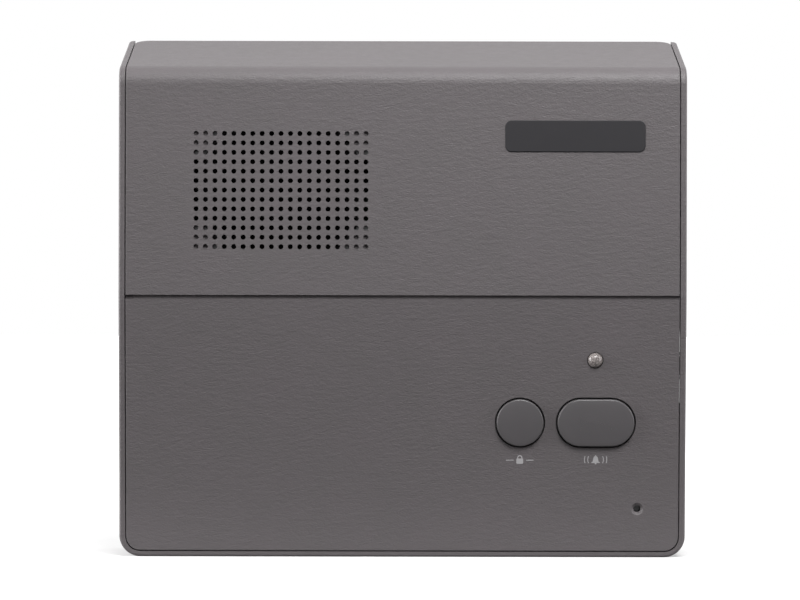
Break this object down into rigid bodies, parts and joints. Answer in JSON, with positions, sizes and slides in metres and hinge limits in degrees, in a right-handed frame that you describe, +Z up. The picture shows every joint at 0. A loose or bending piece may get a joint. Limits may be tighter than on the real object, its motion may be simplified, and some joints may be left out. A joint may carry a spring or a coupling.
{
  "type": "teller window intercom",
  "caption": "Counter intercom station: two-panel front cover with speaker grille, bare badge, privacy and call keys and side volume wheel in a tray housing.",
  "frame": {"origin": "on the surface the case stands on, under the middle of its overall width and depth", "axes": "+X to the user's right, -Y out of the front panel, +Z up"},
  "size_m": [0.188, 0.0488, 0.1743],
  "materials": {
    "housing_plastic": "fine moulded grain",
    "cover_plastic": "fine moulded grain",
    "badge_plastic": "smooth, satin",
    "key_plastic": "smooth, satin",
    "switch_plastic": "moulded",
    "plunger_plastic": "moulded",
    "spring_steel": "bright wire",
    "lens_resin": "clear",
    "rubber_black": "matt",
    "capsule_aluminium": "satin can",
    "basket_steel": "zinc plated",
    "magnet_ferrite": "dull ferrite",
    "cone_paper": "pressed paper",
    "gasket_foam": "closed foam",
    "tag_brass": "tinned",
    "screw_steel": "zinc plated",
    "wheel_plastic": "knurled edge",
    "board_laminate": "green solder mask",
    "core_iron": "laminated",
    "coil_tape": "yellow tape",
    "can_sleeve": "shrink sleeve",
    "chip_epoxy": "moulded epoxy",
    "resistor_lacquer": "lacquered",
    "socket_nylon": "natural nylon",
    "terminal_plastic": "green moulding",
    "lead_insulation": "extruded"
  },
  "bodies": {
    "case": {"rear_housing": "housing_plastic", "front_cover": "cover_plastic", "badge_plate": "badge_plastic", "privacy_switch": "switch_plastic", "call_switch": "switch_plastic", "privacy_spring": "spring_steel", "call_spring": "spring_steel", "status_led": "lens_resin", "led_stand": "switch_plastic", "microphone_capsule": "capsule_aluminium", "microphone_boot": "rubber_black", "speaker_basket": "basket_steel", "speaker_magnet": "magnet_ferrite", "speaker_cone": "cone_paper", "speaker_dust_cap": "cone_paper", "speaker_gasket": "gasket_foam", "speaker_tags": "tag_brass", "speaker_clamps": "screw_steel", "speaker_screws": "screw_steel", "volume_potentiometer": "basket_steel", "main_board": "board_laminate", "board_screws": "screw_steel", "transformer_core": "core_iron", "transformer_coil": "coil_tape", "electrolytic_capacitors": "can_sleeve", "amplifier_chip": "chip_epoxy", "logic_chip": "chip_epoxy", "small_resistors": "resistor_lacquer", "lead_sockets": "socket_nylon", "terminal_board": "board_laminate", "terminal_board_screws": "screw_steel", "terminal_block": "terminal_plastic", "terminal_screws": "screw_steel", "speaker_leads": "lead_insulation", "terminal_leads": "lead_insulation", "case_screws": "screw_steel", "rubber_feet": "rubber_black"},
    "privacy_key": {"privacy_button": "key_plastic", "privacy_plunger": "plunger_plastic"},
    "call_key": {"call_button": "key_plastic", "call_plunger": "plunger_plastic"},
    "volume_knob": {"volume_wheel": "wheel_plastic", "volume_shaft": "plunger_plastic", "volume_wheel_screw": "screw_steel"}
  },
  "joints": [
    {"name": "privacy_press", "type": "slide", "parent": "case", "child": "privacy_key", "axis": [0, 0.9976, 0.0698], "range_m": [0, 0.002], "stiffness_N_per_m": 300, "springref_m": -0.002, "deforming": ["privacy_spring"]},
    {"name": "call_press", "type": "slide", "parent": "case", "child": "call_key", "axis": [0, 0.9976, 0.0698], "range_m": [0, 0.002], "stiffness_N_per_m": 300, "springref_m": -0.002, "deforming": ["call_spring"]},
    {"name": "volume_turn", "type": "hinge", "parent": "case", "child": "volume_knob", "pos_m": [0.0803, -0.011, 0.06376], "axis": [0, 0.9976, 0.0698], "range_deg": [-135, 135]}
  ]
}
